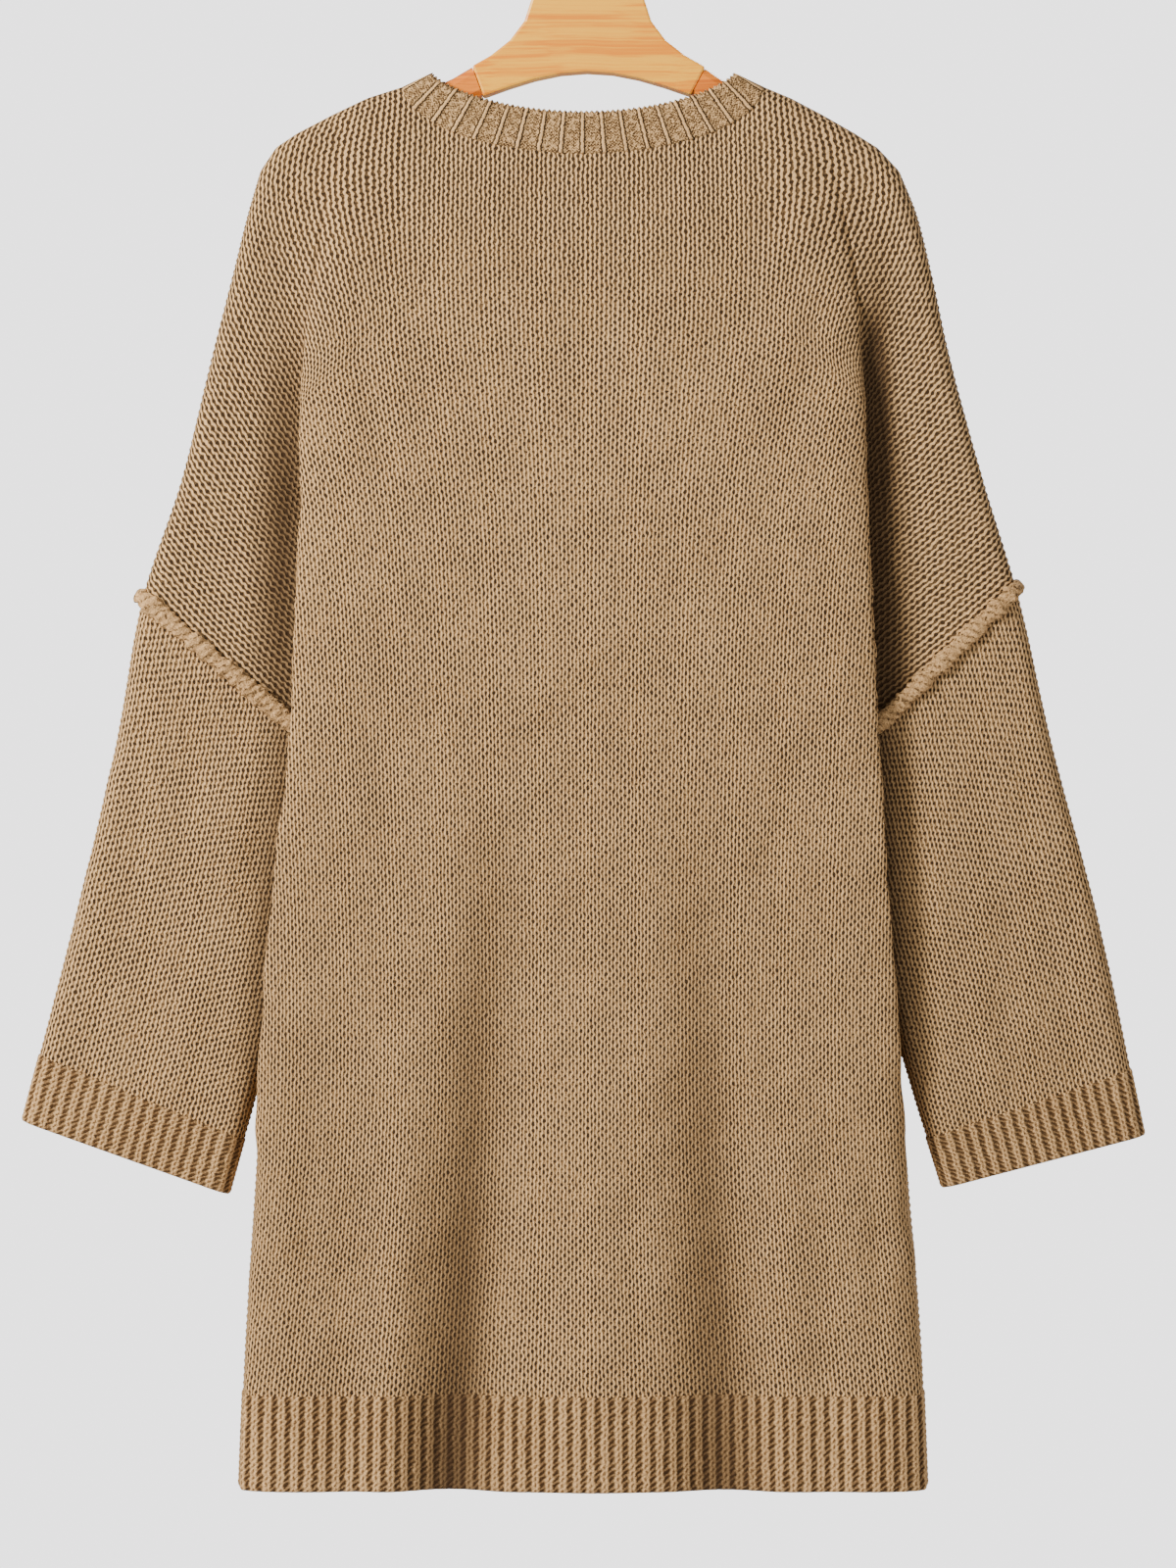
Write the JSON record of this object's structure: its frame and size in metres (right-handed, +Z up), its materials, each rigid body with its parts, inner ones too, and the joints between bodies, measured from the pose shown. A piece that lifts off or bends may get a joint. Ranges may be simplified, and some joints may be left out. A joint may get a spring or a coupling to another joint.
{
  "type": "sweater dress on wooden hanger",
  "caption": "Long knitted drop-shoulder sweater dress with wide sleeves and ribbed neck, cuffs and hem, hanging on a wooden hanger.",
  "frame": {"origin": "top of the inside of the hanger's hook, where a rail carries it", "axes": "+Z up, +X across the dress to the right as the shown side is seen, -Y out of the shown side"},
  "size_m": [0.6982, 0.0711, 1.0223],
  "materials": {
    "knit": "heathered tan open knit, matte and fuzzy",
    "rib_knit": "heathered tan ribbed knit, matte",
    "light_wood": "light beech with fine grain, satin varnish",
    "red_wood": "darker orange wood, satin varnish",
    "hook_metal": "bright plated wire"
  },
  "bodies": {
    "root": {"back_panel": "knit", "front_panel": "knit", "sleeve_left": "knit", "sleeve_right": "knit", "cuff_left": "rib_knit", "cuff_right": "rib_knit", "neckband": "rib_knit", "hem_band": "rib_knit", "drop_seam_left": "knit", "drop_seam_right": "knit", "hanger_yoke": "light_wood", "hanger_arm_left": "red_wood", "hanger_arm_right": "red_wood", "hanger_hook": "hook_metal"}
  },
  "joints": []
}
